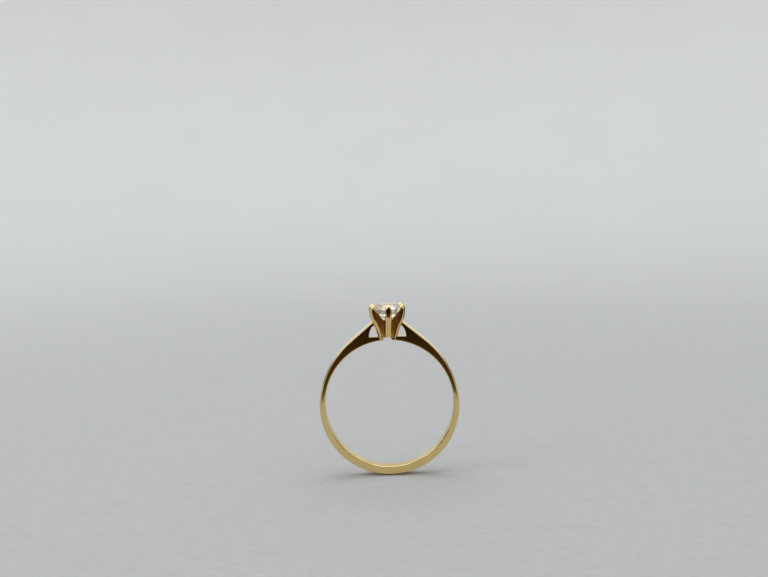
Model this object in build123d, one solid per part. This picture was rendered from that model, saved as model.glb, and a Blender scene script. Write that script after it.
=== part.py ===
"""Solitaire engagement ring: slim domed band, cathedral shoulders, six-claw tulip head, round stone.

Frame, in millimetres: the origin is the centre of the finger hole, +Y runs along the hole, and
+Z points up to the stone. Each piece of the ring is exported as its own STEP file.
"""

from build123d import *
from math import atan, cos, radians, sin, sqrt, tan
import os

# ---- Driving dimensions -------------------------------------------------------------------
FINGER_R = 8.45  # finger hole, 16.9 mm across
BAND_W = 1.50  # band width along the finger
BAND_DOME = 0.20  # height of the band's domed outer face
EDGE_ROUND = 0.07  # softened outer edges along the band
RIM_ROUND = 0.12  # softened rims of the finger hole
STONE_D = 4.40  # girdle diameter of the stone
TABLE_Z = 13.22  # height of the stone's table above the origin

# ---- Hoop and shoulders -------------------------------------------------------------------
HOOP_R = 9.28  # outer circle of the hoop
HOOP_DROP = 0.35  # its centre lies this far below the finger hole's
TANGENT_DEG = 80.0  # angle from the top where the shoulders leave the hoop
SLOPE_DEG = 40.0  # fall of the straight part of the shoulder
RIDGE_OFFSET = 9.69  # distance from the origin to the line of that straight part
BAND_DEPTH = 3.0  # depth of the bar that the band is cut from
ARM_START_X = 1.5  # the shoulder's bar starts inside the head
ARM_END_X = 1.2  # and nothing of it is left nearer the middle than this

# ---- Windows and bridge rails ---------------------------------------------------------------
WINDOW_FOOT = (2.43, 8.91)  # outer lower corner of a window, on the rail's level top
WINDOW_TOP = (1.89, 10.38)  # apex of a window
WINDOW_BULGE = 0.15  # how far the shoulder's end bows away from the straight
RAIL_INNER_X = 1.00  # the rails reach this far in, between the feet of the claws
RAIL_SINK = 0.90  # and this far below their top, before the finger hole is cut

# ---- Head -----------------------------------------------------------------------------------
CLAWS = 6
HEAD_TURN_DEG = 5.0  # the head sits turned by this much on the band
CLAW_T = 0.79  # width of a claw
CLAW_ROUND = 0.22  # rounding of its outer edges
CLAW_OUTLINE = [(1.16, 8.25), (1.80, 10.16), (2.34, 11.30), (2.49, 12.00), (2.52, 12.60)]
CLAW_FOOT_LEAN = 0.30  # outward lean of the outline at the foot, per unit of height
CLAW_TOP_Z = 13.15  # top of the claws
CLAW_TIP_R = 0.34  # rounded tip, seen from the side
TIP_SPARE = 0.06  # that tip's height above the dome that is cut from it
BEAD_R = 0.45  # the claws end in domes of this radius
BEAD_LOW_Z = 12.42  # that begin at this height
BEAD_KNEE = (0.30, 0.56)  # there their sides bend into the rounder top, from that height
BEAD_FLAT = 0.05  # which ends in a tiny flat of this radius
CLAW_FORK = (0.91, 11.15)  # inner corner where the claws part, radius and height
CLAW_THROAT = (1.42, 11.65)  # bend in a claw's inner edge
CLAW_SEAT_Z = 12.40  # the inner edge stands upright above this
CORE_FOOT_R = 0.95  # radius of the collet's ribs at the foot
CORE_TOP_R = 1.25  # and at the fork
CORE_LOW_Z = 8.00  # it is built down to here, inside the finger hole, and cut back
LIGHT_HOLE_R = 0.30  # hole under the stone's point
STONE_GAP = 0.10  # space between the stone's point and the collet
ARCH_W = 1.20  # width of the arch under the head
ARCH_H = 0.50  # and its rise above the finger hole
JOINT_DEPTH = 0.45  # how far the shoulders reach in between the claws

# ---- Stone, round brilliant -------------------------------------------------------------------
FACETS = 8  # the cut repeats this many times round the stone
TABLE_RATIO = 0.57
CROWN_DEG = 34.5
PAVILION_DEG = 40.75
GIRDLE_RATIO = 0.026
STAR_LENGTH = 0.50  # star facets cover this share of the way from table to girdle
LOWER_LENGTH = 0.77  # lower girdle facets cover this share of the way from girdle to point

STONE_R = STONE_D / 2
TABLE_R = STONE_R * TABLE_RATIO
CROWN_H = (STONE_R - TABLE_R) * tan(radians(CROWN_DEG))
GIRDLE_H = STONE_D * GIRDLE_RATIO
PAVILION_H = STONE_R * tan(radians(PAVILION_DEG))
CULET_Z = TABLE_Z - CROWN_H - GIRDLE_H - PAVILION_H

Y_AXIS = Axis((0, 0, 0), (0, 1, 0))
REACH = 40.0  # longer than anything in the ring
TOLERANCE = 0.001  # slack in telling edges apart


# ---- Shared shapes ----------------------------------------------------------------------------
def in_xz(x, z):
    """A point of the ring's middle plane."""
    return Vector(x, 0, z)


def along_y(outline, width):
    """A prism along Y, centred, from a closed outline in the XZ plane."""
    return extrude(make_face(outline), amount=width / 2, dir=(0, 1, 0), both=True)


def band_section(origin, direction):
    """The band's section: a domed outer edge through the origin, and straight flanks."""
    half = BAND_W / 2
    dome = ThreePointArc((-half, -BAND_DOME), (0, 0), (half, -BAND_DOME))
    box = Polyline((half, -BAND_DOME), (half, -BAND_DEPTH), (-half, -BAND_DEPTH), (-half, -BAND_DOME))
    face = make_face(dome + box)
    outer_corners = face.vertices().sort_by(Axis.Y)[-2:]
    face = fillet(outer_corners, radius=EDGE_ROUND)
    return Plane(origin=origin, x_dir=(0, 1, 0), z_dir=direction) * face


def finger_cutter():
    """The finger hole, with its two rims softened."""
    half = BAND_W / 2
    rim = RIM_ROUND
    outline = Polyline((0, -REACH), (FINGER_R + rim, -REACH), (FINGER_R + rim, -half))
    lower = RadiusArc((FINGER_R + rim, -half), (FINGER_R, -half + rim), rim)
    wall = Line((FINGER_R, -half + rim), (FINGER_R, half - rim))
    upper = RadiusArc((FINGER_R, half - rim), (FINGER_R + rim, half), rim)
    back = Polyline((FINGER_R + rim, half), (FINGER_R + rim, REACH), (0, REACH), (0, -REACH))
    return revolve(make_face(outline + lower + wall + upper + back), Y_AXIS)


# ---- Stone --------------------------------------------------------------------------------------
def facet_cut(stone, azimuth_deg, slope, radius, height, side):
    """Cut one facet. It passes through radius and height at its azimuth and falls by slope.

    side is 1 above the girdle and -1 below it.
    """
    tilt = atan(slope)
    around = radians(azimuth_deg)
    normal = (sin(tilt) * cos(around), sin(tilt) * sin(around), side * cos(tilt))
    point = (radius * cos(around), radius * sin(around), height)
    return split(stone, bisect_by=Plane(origin=point, z_dir=normal), keep=Keep.BOTTOM)


def facet_ring(stone, count, first_deg, slope, radius, height, side):
    """Cut a ring of equal facets."""
    for k in range(count):
        stone = facet_cut(stone, first_deg + 360 * k / count, slope, radius, height, side)
    return stone


def centre_stone():
    """Round brilliant: 57 flat facets on a girdle cylinder."""
    main_deg = 180 / FACETS  # from the middle of a main facet to its corner
    girdle_deg = main_deg / 2  # and the same for the smaller facets at the girdle
    eighth = cos(radians(main_deg))
    sixteenth = cos(radians(girdle_deg))
    crown_slope = tan(radians(CROWN_DEG))
    pavilion_slope = tan(radians(PAVILION_DEG))
    girdle_top = TABLE_Z - CROWN_H
    girdle_bottom = girdle_top - GIRDLE_H

    # where a star, two kites and two upper girdle facets meet
    table_mid = TABLE_R * eighth
    star_r = table_mid + STAR_LENGTH * (STONE_R - table_mid)
    star_z = TABLE_Z - (star_r * eighth - TABLE_R) * crown_slope
    star_slope = (TABLE_Z - star_z) / (star_r - table_mid)
    upper_slope = (star_z - girdle_top) / ((STONE_R - star_r) * sixteenth)

    # where two pavilion mains and two lower girdle facets meet
    lower_r = STONE_R * (1 - LOWER_LENGTH)
    lower_z = CULET_Z + lower_r * eighth * pavilion_slope
    lower_slope = (girdle_bottom - lower_z) / ((STONE_R - lower_r) * sixteenth)

    stone = Pos(0, 0, CULET_Z) * Cylinder(
        STONE_R, TABLE_Z - CULET_Z, align=(Align.CENTER, Align.CENTER, Align.MIN)
    )
    stone = facet_ring(stone, FACETS, 0, crown_slope, STONE_R, girdle_top, 1)
    stone = facet_ring(stone, FACETS, main_deg, star_slope, table_mid, TABLE_Z, 1)
    stone = facet_ring(stone, 2 * FACETS, girdle_deg, upper_slope, STONE_R * sixteenth, girdle_top, 1)
    stone = facet_ring(stone, FACETS, 0, pavilion_slope, STONE_R, girdle_bottom, -1)
    stone = facet_ring(stone, 2 * FACETS, girdle_deg, lower_slope, STONE_R * sixteenth, girdle_bottom, -1)
    return Rot(0, 0, HEAD_TURN_DEG) * stone


# ---- Head -----------------------------------------------------------------------------------------
def rib():
    """A slab as wide as a claw, standing on +X, that joins one claw to the head's axis."""
    return Box(REACH, CLAW_T, 2 * REACH, align=(Align.MIN, Align.CENTER, Align.CENTER))


def claw_places():
    """The turn of each claw about the head's axis."""
    return [Rot(0, 0, HEAD_TURN_DEG + 180 / CLAWS + 360 * k / CLAWS) for k in range(CLAWS)]


def bead_cutter():
    """What the dome leaves away from the top of a claw that stands on +X."""
    centre_x = CLAW_OUTLINE[-1][0] - CLAW_TIP_R
    rise = CLAW_TOP_Z - BEAD_LOW_Z
    side = TangentArc((BEAD_R, 0), BEAD_KNEE, tangent=(0, 1))
    top = TangentArc(BEAD_KNEE, (BEAD_FLAT, rise), tangent=side % 1)
    around = Polyline((BEAD_FLAT, rise), (0, rise), (0, REACH), (REACH, REACH), (REACH, 0), (BEAD_R, 0))
    outline = Plane.XZ * make_face(side + top + around)
    return Pos(centre_x, 0, BEAD_LOW_Z) * revolve(outline, Axis.Z)


def claw_blank():
    """One claw before the stone and the collet are cut from it, standing on +X."""
    tip_x, shoulder_z = CLAW_OUTLINE[-1]
    foot_x, foot_z = CLAW_OUTLINE[0]
    fork_r, fork_z = CLAW_FORK
    tip_z = CLAW_TOP_Z + TIP_SPARE - CLAW_TIP_R
    inner_x = tip_x - 2 * CLAW_TIP_R

    outer = Spline(
        [in_xz(x, z) for x, z in CLAW_OUTLINE], tangents=((CLAW_FOOT_LEAN, 0, 1), (0, 0, 1))
    )
    neck = Line(in_xz(tip_x, shoulder_z), in_xz(tip_x, tip_z))
    tip = ThreePointArc(
        in_xz(tip_x, tip_z), in_xz(tip_x - CLAW_TIP_R, tip_z + CLAW_TIP_R), in_xz(inner_x, tip_z)
    )
    inner = Polyline(
        in_xz(inner_x, tip_z),
        in_xz(inner_x, CLAW_SEAT_Z),
        in_xz(*CLAW_THROAT),
        in_xz(fork_r, fork_z),
        in_xz(fork_r, foot_z),
        in_xz(foot_x, foot_z),
    )
    plate = along_y(outer + neck + tip + inner, CLAW_T)

    def is_rim(edge):
        middle = edge @ 0.5
        return middle.X > inner_x - TOLERANCE and abs(middle.Y) > CLAW_T / 2 - TOLERANCE

    return fillet(plate.edges().filter_by(is_rim), radius=CLAW_ROUND) - bead_cutter()


def claw(place, core, stone, cutters):
    """A claw in its place, cut to the collet, the stone, the finger hole and the arch."""
    return place * claw_blank() - core - stone - cutters


def collet_core():
    """The star of ribs that the claws grow from, with a seat and a light hole for the stone's point."""
    fork_z = CLAW_FORK[1]
    slope = tan(radians(PAVILION_DEG))
    gap_r = STONE_GAP / sin(radians(PAVILION_DEG))
    seat_top_r = (fork_z - CULET_Z) / slope + gap_r
    seat_low_z = CULET_Z + (LIGHT_HOLE_R - gap_r) * slope
    outline = Polyline(
        in_xz(LIGHT_HOLE_R, CORE_LOW_Z),
        in_xz(CORE_FOOT_R, CORE_LOW_Z),
        in_xz(CORE_TOP_R, fork_z),
        in_xz(seat_top_r, fork_z),
        in_xz(LIGHT_HOLE_R, seat_low_z),
        in_xz(LIGHT_HOLE_R, CORE_LOW_Z),
    )
    ribs = Part() + [place * rib() for place in claw_places()]
    return revolve(make_face(outline), Axis.Z) & ribs


def arch_cutter():
    """The arch that runs front to back under the head."""
    foot_x = ARCH_W / 2
    foot_z = sqrt(FINGER_R**2 - foot_x**2)
    curve = ThreePointArc(
        in_xz(-foot_x, foot_z), in_xz(0, FINGER_R + ARCH_H), in_xz(foot_x, foot_z)
    )
    below = Polyline(
        in_xz(foot_x, foot_z), in_xz(foot_x, 0), in_xz(-foot_x, 0), in_xz(-foot_x, foot_z)
    )
    return along_y(curve + below, REACH)


def joint_cutter():
    """The inside of the head, which the shoulders don't reach into."""
    wall = [in_xz(radius - JOINT_DEPTH, height) for radius, height in CLAW_OUTLINE]
    low_z, high_z = CLAW_OUTLINE[0][1], CLAW_OUTLINE[-1][1]
    outline = Polyline(*wall, in_xz(0, high_z), in_xz(0, low_z), wall[0])
    return revolve(make_face(outline), Axis.Z)


# ---- Band -------------------------------------------------------------------------------------------
def hoop():
    """The lower hoop, from one tangent point round the back of the finger to the other."""
    tangent = radians(TANGENT_DEG)
    start = Vector(HOOP_R * sin(tangent), 0, HOOP_R * cos(tangent) - HOOP_DROP)
    section = band_section(start, (cos(tangent), 0, -sin(tangent)))
    axis = Axis((0, 0, -HOOP_DROP), (0, 1, 0))
    return revolve(section, axis, revolution_arc=360 - 2 * TANGENT_DEG)


def shoulder_bar():
    """The right shoulder's bar: straight away from the head, then bending into the hoop."""
    slope, tangent = radians(SLOPE_DEG), radians(TANGENT_DEG)
    turn = 1 - cos(tangent - slope)
    extra_r = (RIDGE_OFFSET + HOOP_DROP * cos(slope) - HOOP_R) / turn
    centre = Vector(-extra_r * sin(tangent), 0, -extra_r * cos(tangent) - HOOP_DROP)
    outward, downhill = Vector(sin(slope), 0, cos(slope)), Vector(cos(slope), 0, -sin(slope))
    bend = centre + outward * (HOOP_R + extra_r)
    start = Vector(ARM_START_X, 0, (RIDGE_OFFSET - ARM_START_X * sin(slope)) / cos(slope))
    straight = extrude(band_section(start, downhill), amount=(bend - start).length, dir=downhill)
    curve = revolve(
        band_section(bend, downhill), Axis(centre, (0, 1, 0)), revolution_arc=TANGENT_DEG - SLOPE_DEG
    )
    return straight + curve


def shoulder():
    """The right shoulder, before the head is cut from it. Its inner end bows round the window."""
    foot, top = in_xz(*WINDOW_FOOT), in_xz(*WINDOW_TOP)
    edge = (top - foot).normalized()
    bow = Vector(edge.Z, 0, -edge.X) * WINDOW_BULGE
    inner_end = ThreePointArc(foot, (foot + top) / 2 + bow, top)
    rest = Polyline(
        top,
        in_xz(ARM_END_X, top.Z),
        in_xz(ARM_END_X, REACH),
        in_xz(-REACH, REACH),
        in_xz(-REACH, 0),
        in_xz(0, 0),
        foot,
    )
    return shoulder_bar() - along_y(inner_end + rest, REACH)


def bridge_rail():
    """The right rail, between the window and the finger hole, before the head is cut from it."""
    foot = in_xz(*WINDOW_FOOT)
    low = foot * (1 - RAIL_SINK / foot.length)
    outline = Polyline(
        in_xz(RAIL_INNER_X, foot.Z), foot, low, in_xz(RAIL_INNER_X, low.Z), in_xz(RAIL_INNER_X, foot.Z)
    )
    return along_y(outline, BAND_W)


# ---- The ring -----------------------------------------------------------------------------------------
def ring_parts():
    """Every piece of the ring, by name."""
    finger = finger_cutter()
    arch = arch_cutter()
    stone = centre_stone()
    core = collet_core()
    names = [
        "back_right_claw",
        "back_claw",
        "back_left_claw",
        "front_left_claw",
        "front_claw",
        "front_right_claw",
    ]
    claws = {
        name: claw(place, core, stone, finger + arch) for name, place in zip(names, claw_places())
    }
    collet = core - finger - arch

    head = [collet, *claws.values()]
    inside = joint_cutter()
    right_shoulder = shoulder() - finger
    right_rail = bridge_rail() - finger
    return {
        "shank": hoop() - finger,
        "left_shoulder": mirror(right_shoulder, about=Plane.YZ) - inside - head,
        "right_shoulder": right_shoulder - inside - head,
        "left_bridge_rail": mirror(right_rail, about=Plane.YZ) - head,
        "right_bridge_rail": right_rail - head,
        "head_collet": collet,
        **claws,
        "centre_stone": stone,
    }


os.makedirs("parts", exist_ok=True)
for node, shape in ring_parts().items():
    print(f"{node}: {len(shape.solids())} solid, {shape.volume:.3f} mm3")
    export_step(shape, f"parts/{node}.step")
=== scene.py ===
"""Looks for the solitaire ring: materials, pale floor, soft studio light and the camera.

Everything is in metres, in the frame of the CAD model: the origin is the centre of the finger hole,
+Y runs along the hole and +Z points up to the stone.
"""

import math

import bpy
from mathutils import Matrix, Vector


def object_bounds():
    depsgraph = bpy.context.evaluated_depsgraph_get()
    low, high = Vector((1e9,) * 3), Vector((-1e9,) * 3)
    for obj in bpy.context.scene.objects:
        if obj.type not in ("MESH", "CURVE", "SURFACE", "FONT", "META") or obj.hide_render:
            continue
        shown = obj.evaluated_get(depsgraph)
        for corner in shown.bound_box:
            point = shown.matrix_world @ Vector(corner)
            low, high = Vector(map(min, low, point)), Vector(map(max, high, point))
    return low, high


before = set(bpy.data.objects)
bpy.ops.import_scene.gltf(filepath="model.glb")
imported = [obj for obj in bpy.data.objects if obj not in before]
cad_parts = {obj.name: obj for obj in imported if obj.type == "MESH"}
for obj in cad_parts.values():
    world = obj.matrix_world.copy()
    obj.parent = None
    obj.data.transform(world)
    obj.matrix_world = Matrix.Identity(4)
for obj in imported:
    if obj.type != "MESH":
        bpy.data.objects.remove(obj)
cad_low, cad_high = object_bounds()

MM = 0.001
RING_LOW = cad_low.z
RING_TOP = cad_high.z

# ---- Camera: a little above the ring, looking along the finger hole ---------------------------
CAMERA_EYE = Vector((0.0, -95.21, 23.21)) * MM
CAMERA_PITCH = math.radians(-4.82)
CAMERA_TURN = math.radians(0.17)
CAMERA_ROLL = math.radians(-1.7)
CAMERA_LENS = 34.27
CAMERA_SENSOR = 36.0

# ---- Stage ---------------------------------------------------------------------------------------
BOWL_R = 0.70  # the floor curves up into a backdrop all round
BOWL_CURVE_R = 0.45  # radius of that curve
BOWL_TOP = 0.50  # height of the backdrop above the floor
BOWL_SIDES = 96
BOWL_STEPS = 16
NEAR_FLOOR = 0.06  # the floor is darkest up to this distance from the ring
FAR_FLOOR = 0.60  # and palest beyond this one

# Cards stand round the ring and show only in reflections: the dark ones are painted shade and the bright
# ones painted highlights. Their lower edges are lists of an angle in degrees, from the ring's front towards
# its right, and a height in mm.
CARD_STEP_DEG = 1.0
CARD_FADE = 0.6 * MM  # half the height of the soft lower edge
CARD_FADE_DEG = 14.0  # width of the soft ends
DARK_R = 30 * MM  # distance of the dark cards from the ring's middle
DARK_TOP_Z = 6 * MM  # they grow darker up to this height
FRONT_TOP = RING_TOP + 4 * MM
FRONT_EDGE = [
    (-88, 5.0), (-60, 5.0), (-45, 1.0), (-28, 1.0), (-24, -7.2), (-21, -4.8),
    (21, -4.8), (24, -6.2), (27, 1.0), (45, 1.0), (60, 5.0), (88, 5.0),
]
BACK_TOP = RING_TOP - 3 * MM
BACK_EDGE = [(115, 1.0), (145, 1.0)]
LIGHT_R = 250 * MM  # and of the bright ones
LIGHT_TOP = 170 * MM
LIGHT_EDGE = [(140, 38.0), (168, 38.0)]

# ---- Colours, linear RGB --------------------------------------------------------------------------
GOLD_DEEP = (0.85, 0.63, 0.25)
GOLD_LIGHT = (0.88, 0.67, 0.29)
STONE_TINT = (0.985, 0.98, 0.955)
# painted glow of the stone, given by its own emission
STONE_PAINTED_GLOW = (1.0, 0.95, 0.84)
FLOOR_NEAR = ((0.460, 0.445, 0.415), (0.490, 0.475, 0.445))  # between the grains, and on them
FLOOR_FAR = ((0.74, 0.72, 0.67), (0.78, 0.76, 0.71))
# painted shade: the dark cards' colours, seen only in the gold's reflections
SHADE_CARD_LOW = (0.053, 0.032, 0.014)  # the dark cards, low down
SHADE_CARD_HIGH = (0.017, 0.0095, 0.007)  # high up
SHADE_CARD_SIDE = (0.12, 0.075, 0.07)  # and at the ring's two sides
# painted highlight: the bright cards' glow, seen only in reflections
HIGHLIGHT_CARD_COLOUR = (0.86, 0.93, 1.15)  # the bright cards
SKY = (0.92, 0.99, 1.10)
SKY_STRENGTH = 0.72
TOP_LIGHT = (0.93, 0.98, 1.06)
LEFT_LIGHT = (0.95, 0.99, 1.04)


def add_camera():
    """The camera that the main picture is taken with."""
    data = bpy.data.cameras.new("camera")
    data.sensor_width = CAMERA_SENSOR
    data.lens = CAMERA_LENS
    data.clip_start = 5 * MM
    data.clip_end = 20.0
    camera = bpy.data.objects.new("camera", data)
    bpy.context.scene.collection.objects.link(camera)
    turn = Matrix.Rotation(CAMERA_TURN, 4, "Z")
    pitch = Matrix.Rotation(math.radians(90) + CAMERA_PITCH, 4, "X")
    roll = Matrix.Rotation(CAMERA_ROLL, 4, "Z")
    camera.matrix_world = Matrix.Translation(CAMERA_EYE) @ turn @ pitch @ roll
    bpy.context.scene.camera = camera


# ---- Material helpers ------------------------------------------------------------------------------
class Builder:
    """A new material's node tree, with short calls for the nodes that the looks below use."""

    def __init__(self, name):
        self.material = bpy.data.materials.new(name)
        self.material.use_nodes = True
        self.nodes = self.material.node_tree.nodes
        self.links = self.material.node_tree.links
        self.shader = self.nodes["Principled BSDF"]
        self.where = self.nodes.new("ShaderNodeTexCoord").outputs["Object"]

    def connect(self, source, node, socket):
        """Link an output to a node's input, given by its name or number."""
        self.links.new(source, node.inputs[socket])

    def stretched(self, scale):
        """Object coordinates, scaled along each axis."""
        mapping = self.nodes.new("ShaderNodeMapping")
        mapping.inputs["Scale"].default_value = scale
        self.connect(self.where, mapping, "Vector")
        return mapping.outputs["Vector"]

    def noise(self, where, scale, detail=2.0, distortion=0.0):
        """Cloudy noise from about 0.3 to 0.7, with scale cells to the metre."""
        texture = self.nodes.new("ShaderNodeTexNoise")
        texture.inputs["Scale"].default_value = scale
        texture.inputs["Detail"].default_value = detail
        texture.inputs["Distortion"].default_value = distortion
        self.connect(where, texture, "Vector")
        return texture.outputs["Fac"]

    def spread(self, value, low, high, to_low, to_high, smooth=False):
        """Map low..high to to_low..to_high, and stop at the ends."""
        spread = self.nodes.new("ShaderNodeMapRange")
        spread.interpolation_type = "SMOOTHSTEP" if smooth else "LINEAR"
        spread.inputs["From Min"].default_value = low
        spread.inputs["From Max"].default_value = high
        spread.inputs["To Min"].default_value = to_low
        spread.inputs["To Max"].default_value = to_high
        self.connect(value, spread, "Value")
        return spread.outputs["Result"]

    def math(self, operation, *values):
        """One sum. Each value is a number or another node's output."""
        node = self.nodes.new("ShaderNodeMath")
        node.operation = operation
        for socket, value in enumerate(values):
            if isinstance(value, (int, float)):
                node.inputs[socket].default_value = value
            else:
                self.connect(value, node, socket)
        return node.outputs["Value"]

    def mix(self, factor, first, second):
        """Mix two colours, each given as numbers or as another node's output."""
        mix = self.nodes.new("ShaderNodeMix")
        mix.data_type = "RGBA"
        self.connect(factor, mix, "Factor")
        for socket, colour in (("A", first), ("B", second)):
            if isinstance(colour, tuple):
                mix.inputs[socket].default_value = (*colour, 1.0)
            else:
                self.links.new(colour, mix.inputs[socket])
        return mix.outputs["Result"]

    def part_of(self, axis):
        """One of the object coordinates."""
        split = self.nodes.new("ShaderNodeSeparateXYZ")
        self.connect(self.where, split, "Vector")
        return split.outputs[axis]

    def fade_out(self):
        """Make the surface clear where the mesh's fade value is low."""
        fade = self.nodes.new("ShaderNodeAttribute")
        fade.attribute_name = "fade"
        self.connect(fade.outputs["Fac"], self.shader, "Alpha")

    def bump(self, height, depth, normal=None):
        """Small relief, depth metres high where height is 1, on top of another relief if one is given."""
        bump = self.nodes.new("ShaderNodeBump")
        bump.inputs["Strength"].default_value = 1.0
        bump.inputs["Distance"].default_value = depth
        self.connect(height, bump, "Height")
        if normal is not None:
            self.connect(normal, bump, "Normal")
        return bump.outputs["Normal"]


# ---- Materials ---------------------------------------------------------------------------------------
def gold():
    """Polished yellow gold, with soft waves from the buff, a thin haze and fine wear scratches."""
    b = Builder("polished_yellow_gold")
    tone = b.noise(b.where, 350.0)
    haze = b.noise(b.where, 1800.0, 5.0)
    along = b.noise(b.stretched((9000.0, 500.0, 9000.0)), 1.0, 3.0, 0.6)
    across = b.noise(b.stretched((700.0, 9000.0, 700.0)), 1.0, 3.0, 0.6)
    marks_along = b.spread(along, 0.60, 0.72, 0.0, 1.0)
    marks_across = b.spread(across, 0.64, 0.76, 0.0, 1.0)
    scratches = b.math("MAXIMUM", marks_along, marks_across)

    colour = b.mix(b.spread(tone, 0.35, 0.65, 0.0, 1.0), GOLD_DEEP, GOLD_LIGHT)
    b.connect(colour, b.shader, "Base Color")
    b.shader.inputs["Metallic"].default_value = 1.0
    polish = b.spread(haze, 0.35, 0.70, 0.05, 0.11)
    wear = b.math("MULTIPLY", scratches, 0.10)
    b.connect(b.math("ADD", polish, wear), b.shader, "Roughness")

    waves = b.bump(b.noise(b.where, 700.0, 2.0), 0.006 * MM)
    marks = b.bump(scratches, -0.0004 * MM, waves)
    b.connect(marks, b.shader, "Normal")
    return b.material


def stone():
    """A clear brilliant, with a faint painted glow: emission that stands in for the soft milky light of many
    small reflections inside it.
    """
    b = Builder("brilliant_stone")
    b.shader.inputs["Base Color"].default_value = (*STONE_TINT, 1.0)
    b.shader.inputs["Roughness"].default_value = 0.08
    b.shader.inputs["IOR"].default_value = 2.0
    # painted light: a faint emission stands in for light bounced about inside the stone
    b.shader.inputs["Emission Color"].default_value = (*STONE_PAINTED_GLOW, 1.0)
    b.shader.inputs["Emission Strength"].default_value = 0.045
    b.shader.inputs["Transmission Weight"].default_value = 1.0
    return b.material


def pale_floor():
    """Soft pale grey, lighter towards the backdrop, with a fine grain."""
    b = Builder("pale_floor")
    distance = b.nodes.new("ShaderNodeVectorMath")
    distance.operation = "LENGTH"
    b.connect(b.where, distance, 0)
    grain = b.noise(b.where, 900.0, 4.0)
    cloud = b.noise(b.where, 14.0, 2.0)
    near = b.mix(b.spread(grain, 0.3, 0.7, 0.0, 1.0), *FLOOR_NEAR)
    far = b.mix(cloud, *FLOOR_FAR)
    rise = b.spread(distance.outputs["Value"], NEAR_FLOOR, FAR_FLOOR, 0.0, 1.0, smooth=True)
    b.connect(b.mix(rise, near, far), b.shader, "Base Color")
    b.shader.inputs["Roughness"].default_value = 0.9
    return b.material


def painted_highlight_material():
    """A painted highlight, cool and bright like a window behind the ring, seen only in reflections."""
    b = Builder("painted_highlight_card")
    b.shader.inputs["Emission Color"].default_value = (*HIGHLIGHT_CARD_COLOUR, 1.0)
    b.shader.inputs["Emission Strength"].default_value = 1.0
    b.fade_out()
    return b.material


def painted_shade_material():
    """Painted shade seen only in reflections: dim and warm, almost black at the top, brown lower down and
    lighter at the two sides.
    """
    b = Builder("painted_shade_card")
    depth = b.math("ABSOLUTE", b.part_of("Y"))
    upward = b.spread(b.part_of("Z"), 0.0, DARK_TOP_Z, 0.0, 1.0)
    sideways = b.spread(depth, 0.90 * DARK_R, 0.50 * DARK_R, 0.0, 1.0)
    # painted shade: dim emission, darker upwards and lighter at the two sides
    middle = b.mix(upward, SHADE_CARD_LOW, SHADE_CARD_HIGH)
    b.connect(b.mix(sideways, middle, SHADE_CARD_SIDE), b.shader, "Emission Color")
    b.shader.inputs["Emission Strength"].default_value = 1.0
    b.shader.inputs["Base Color"].default_value = (0.0, 0.0, 0.0, 1.0)
    b.shader.inputs["Specular IOR Level"].default_value = 0.0
    b.fade_out()
    return b.material


# ---- Floor, cards and lights ---------------------------------------------------------------------------
def stage_mesh(name, corners, faces, material):
    """A smooth mesh that is part of the studio and not of the ring."""
    mesh = bpy.data.meshes.new(name)
    mesh.from_pydata(corners, [], faces)
    mesh.materials.append(material)
    for polygon in mesh.polygons:
        polygon.use_smooth = True
    obj = bpy.data.objects.new(name, mesh)
    bpy.context.scene.collection.objects.link(obj)
    return obj


def bowl_profile():
    """Radius and height of the floor and backdrop, from the level floor outwards."""
    flat_r = BOWL_R - BOWL_CURVE_R
    points = []
    for k in range(BOWL_STEPS + 1):
        turn = math.radians(90.0 * k / BOWL_STEPS)
        points.append((flat_r + BOWL_CURVE_R * math.sin(turn), BOWL_CURVE_R * (1 - math.cos(turn))))
    points.append((BOWL_R, BOWL_TOP))
    return points


def add_bowl():
    """One smooth sheet: a level floor that curves up into a backdrop all round."""
    profile = bowl_profile()
    corners = [(0.0, 0.0, RING_LOW)]
    for radius, height in profile:
        for k in range(BOWL_SIDES):
            turn = 2 * math.pi * k / BOWL_SIDES
            corners.append((radius * math.cos(turn), radius * math.sin(turn), RING_LOW + height))
    faces = [(0, 1 + k, 1 + (k + 1) % BOWL_SIDES) for k in range(BOWL_SIDES)]
    for ring in range(len(profile) - 1):
        first = 1 + ring * BOWL_SIDES
        for k in range(BOWL_SIDES):
            after = (k + 1) % BOWL_SIDES
            faces.append((first + k, first + BOWL_SIDES + k, first + BOWL_SIDES + after, first + after))
    stage_mesh("floor", corners, faces, pale_floor())


def edge_height(edge, angle):
    """Height of a card's lower edge at an angle from the front, from a list of angles and heights."""
    for (start, low), (end, high) in zip(edge, edge[1:]):
        if angle <= end:
            return (low + (high - low) * (angle - start) / (end - start)) * MM


def end_fade(edge, angle):
    """How solid a card is at an angle: 0 at its two ends and 1 a little way in."""
    from_end = min(angle - edge[0][0], edge[-1][0] - angle)
    return min(1.0, from_end / CARD_FADE_DEG)


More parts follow.
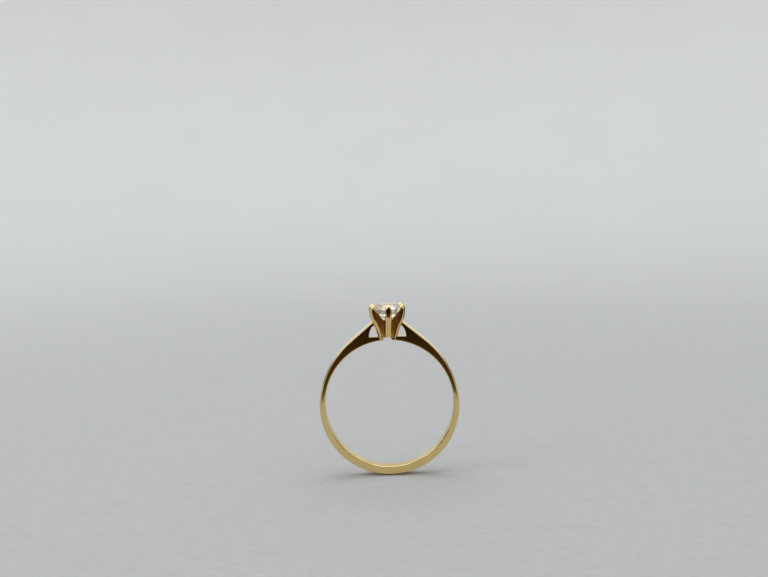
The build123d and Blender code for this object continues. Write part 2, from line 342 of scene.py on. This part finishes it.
def add_card(name, radius, edge, top, material):
    """A curved upright card, seen only in reflections, like the walls and windows of a room: it paints shade
    or highlights into them.
    """
    first, last = edge[0][0], edge[-1][0]
    columns = round((last - first) / CARD_STEP_DEG)
    corners = []
    fades = []
    for k in range(columns + 1):
        angle = first + k * CARD_STEP_DEG
        x = radius * math.sin(math.radians(angle))
        y = -radius * math.cos(math.radians(angle))
        low = edge_height(edge, angle)
        corners += [(x, y, low - CARD_FADE), (x, y, low + CARD_FADE), (x, y, top)]
        solid = end_fade(edge, angle)
        fades += [0.0, solid, solid]
    faces = []
    for corner in range(0, 3 * columns, 3):
        faces.append((corner, corner + 3, corner + 4, corner + 1))
        faces.append((corner + 1, corner + 4, corner + 5, corner + 2))
    card = stage_mesh(name, corners, faces, material)
    fade = card.data.attributes.new("fade", "FLOAT", "POINT")
    fade.data.foreach_set("value", fades)
    card.visible_camera = False
    card.visible_diffuse = False
    card.visible_shadow = False
    card.visible_transmission = False


def add_card_pair(radius, edge, top, material):
    """A card on the right and its mirror image on the left."""
    mirrored = [(-angle, low) for angle, low in reversed(edge)]
    add_card("right_" + material.name, radius, edge, top, material)
    add_card("left_" + material.name, radius, mirrored, top, material)


def add_cards():
    """Painted shade for the dim front of the room and for two dim places behind the ring, and two bright
    painted highlights.
    """
    dark = painted_shade_material()
    light = painted_highlight_material()
    add_card("front_painted_shade_card", DARK_R, FRONT_EDGE, FRONT_TOP, dark)
    add_card_pair(DARK_R, BACK_EDGE, BACK_TOP, dark)
    add_card_pair(LIGHT_R, LIGHT_EDGE, LIGHT_TOP, light)


def add_area_light(name, location, width, height, power, colour):
    """A soft rectangular light that points at the ring."""
    data = bpy.data.lights.new(name, "AREA")
    data.shape = "RECTANGLE"
    data.size = width
    data.size_y = height
    data.energy = power
    data.color = colour
    light = bpy.data.objects.new(name, data)
    light.location = location
    light.rotation_euler = (-Vector(location)).to_track_quat("-Z", "Y").to_euler()
    bpy.context.scene.collection.objects.link(light)


def add_world():
    """Even, slightly cool light from all round."""
    world = bpy.data.worlds.new("studio")
    world.use_nodes = True
    background = world.node_tree.nodes["Background"]
    background.inputs["Color"].default_value = (*SKY, 1.0)
    background.inputs["Strength"].default_value = SKY_STRENGTH
    bpy.context.scene.world = world


def add_lights():
    """A large softbox above the ring and a small one on its left."""
    add_area_light(
        "top_softbox", location=(0.0, 0.10, 0.60), width=0.50, height=0.50, power=1.5, colour=TOP_LIGHT
    )
    add_area_light(
        "left_softbox", location=(-0.45, -0.15, 0.35), width=0.25, height=0.30, power=0.45, colour=LEFT_LIGHT
    )


# ---- The ring --------------------------------------------------------------------------------------------
def dress(node, material):
    """Give a CAD node its finished material."""
    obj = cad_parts[node]
    obj.data.materials.clear()
    obj.data.materials.append(material)


add_camera()
gold_material = gold()
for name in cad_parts:
    if name != "centre_stone":
        dress(name, gold_material)
dress("centre_stone", stone())
add_bowl()
add_cards()
add_world()
add_lights()
bpy.context.scene.view_settings.view_transform = "Standard"
